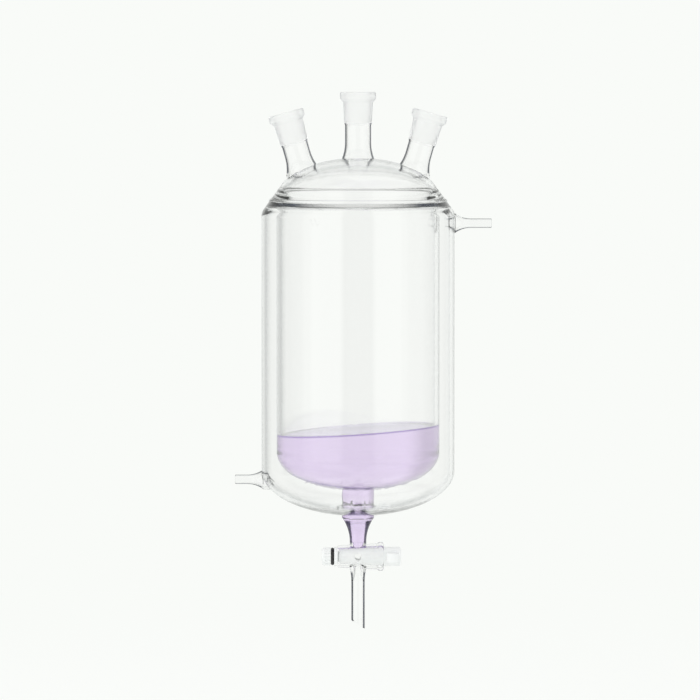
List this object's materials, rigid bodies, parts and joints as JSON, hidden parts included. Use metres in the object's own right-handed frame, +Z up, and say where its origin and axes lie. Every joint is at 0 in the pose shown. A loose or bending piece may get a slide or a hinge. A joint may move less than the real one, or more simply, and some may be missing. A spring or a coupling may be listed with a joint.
{
  "type": "jacketed three neck flask",
  "caption": "Jacketed glass reaction flask with three ground-glass necks, side hose connectors, a bottom stopcock with slant-cut stem, and tinted liquid inside.",
  "frame": {"origin": "on the vessel's upright axis, at the height of the discharge stem's lowest point", "axes": "+Z up along the vessel's axis, +X towards the upper hose connector and the stopcock's grip, +Y away from the front"},
  "size_m": [0.239, 0.18, 0.501],
  "materials": {
    "clear_glass": "clear fire-polished borosilicate glass, frosted where the sockets are ground",
    "tinted_liquid": "clear violet liquid",
    "white_plastic": "turned white fluoropolymer, waxy",
    "black_rubber": "smooth black rubber"
  },
  "bodies": {
    "flask": {"inner_vessel": "clear_glass", "vessel_head": "clear_glass", "outer_jacket": "clear_glass", "centre_neck": "clear_glass", "left_neck": "clear_glass", "right_neck": "clear_glass", "hose_outlet": "clear_glass", "hose_inlet": "clear_glass", "stopcock_barrel": "clear_glass", "liquid": "tinted_liquid"},
    "stopcock_key": {"stopcock_plug": "white_plastic", "washer": "white_plastic", "o_ring": "black_rubber", "nut": "white_plastic"}
  },
  "joints": [
    {"name": "stopcock_turn", "type": "hinge", "parent": "flask", "child": "stopcock_key", "pos_m": [0, 0, 0.0676], "axis": [1, 0, 0], "continuous": true}
  ]
}
